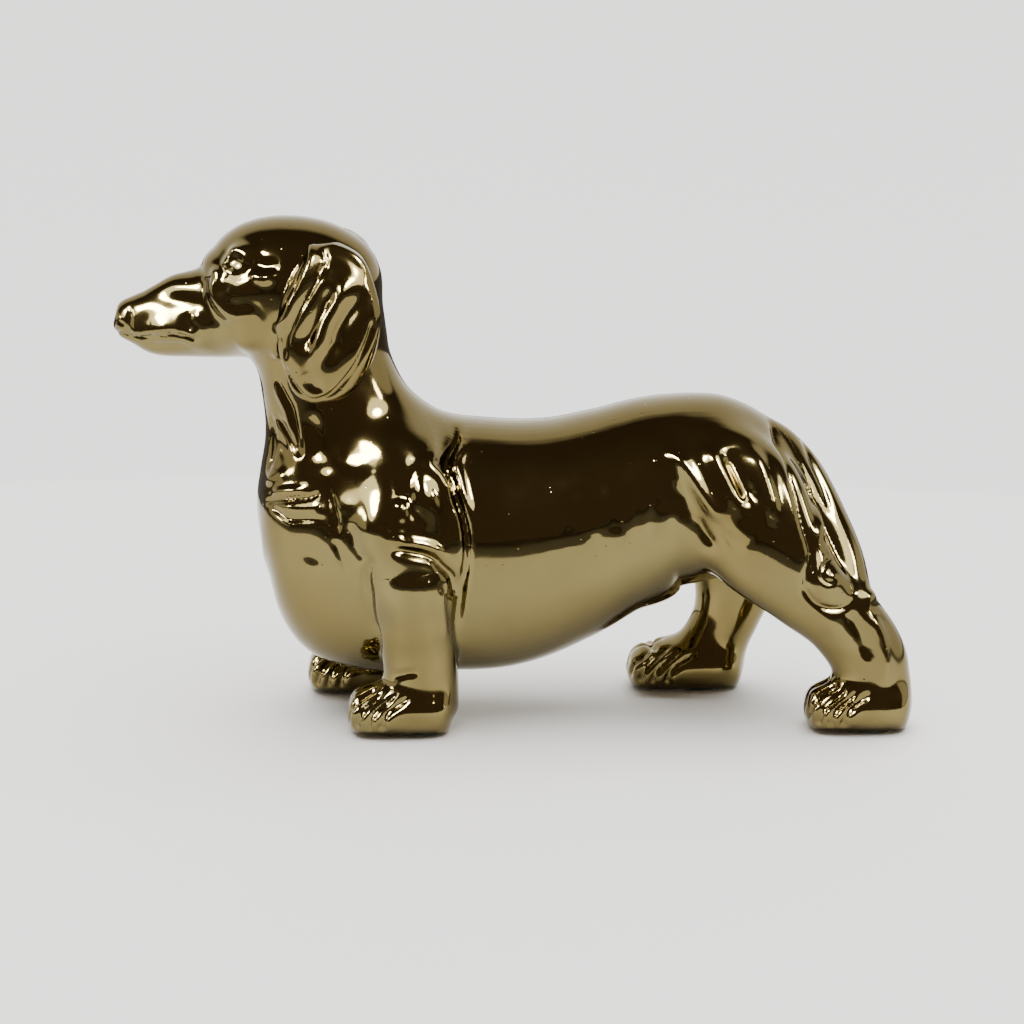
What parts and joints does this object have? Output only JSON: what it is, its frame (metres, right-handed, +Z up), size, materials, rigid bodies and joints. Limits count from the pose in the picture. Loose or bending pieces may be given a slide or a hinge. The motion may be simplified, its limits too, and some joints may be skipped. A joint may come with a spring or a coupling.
{
  "type": "ceramic dog figurine",
  "caption": "Standing long-bodied hound ornament in mirror-gilded glazed ceramic, cast hollow in sections, on felt paw pads; rests on any flat surface.",
  "frame": {"origin": "middle of the footprint, on the surface that the pads stand on", "axes": "+Z up; the dog faces -X, so its left side is -Y and its tail is at +X"},
  "size_m": [0.236, 0.069, 0.1515],
  "materials": {
    "gilded_ceramic": "mirror gloss pale gold lustre over glaze",
    "gilded_pressed_clay": "mirror gloss pale gold lustre over glaze",
    "gilded_slip": "gloss pale gold lustre in the joints",
    "felt": "matt felt"
  },
  "bodies": {
    "root": {"torso": "gilded_ceramic", "head": "gilded_ceramic", "foreleg_left": "gilded_ceramic", "foreleg_right": "gilded_ceramic", "hindleg_left": "gilded_ceramic", "hindleg_right": "gilded_ceramic", "ear_left": "gilded_pressed_clay", "ear_right": "gilded_pressed_clay", "tail": "gilded_pressed_clay", "slip_neck": "gilded_slip", "slip_ear_left": "gilded_slip", "slip_ear_right": "gilded_slip", "slip_tail": "gilded_slip", "slip_foreleg_left": "gilded_slip", "slip_foreleg_right": "gilded_slip", "slip_hindleg_left": "gilded_slip", "slip_hindleg_right": "gilded_slip", "pad_fore_left": "felt", "pad_fore_right": "felt", "pad_hind_left": "felt", "pad_hind_right": "felt"}
  },
  "joints": []
}
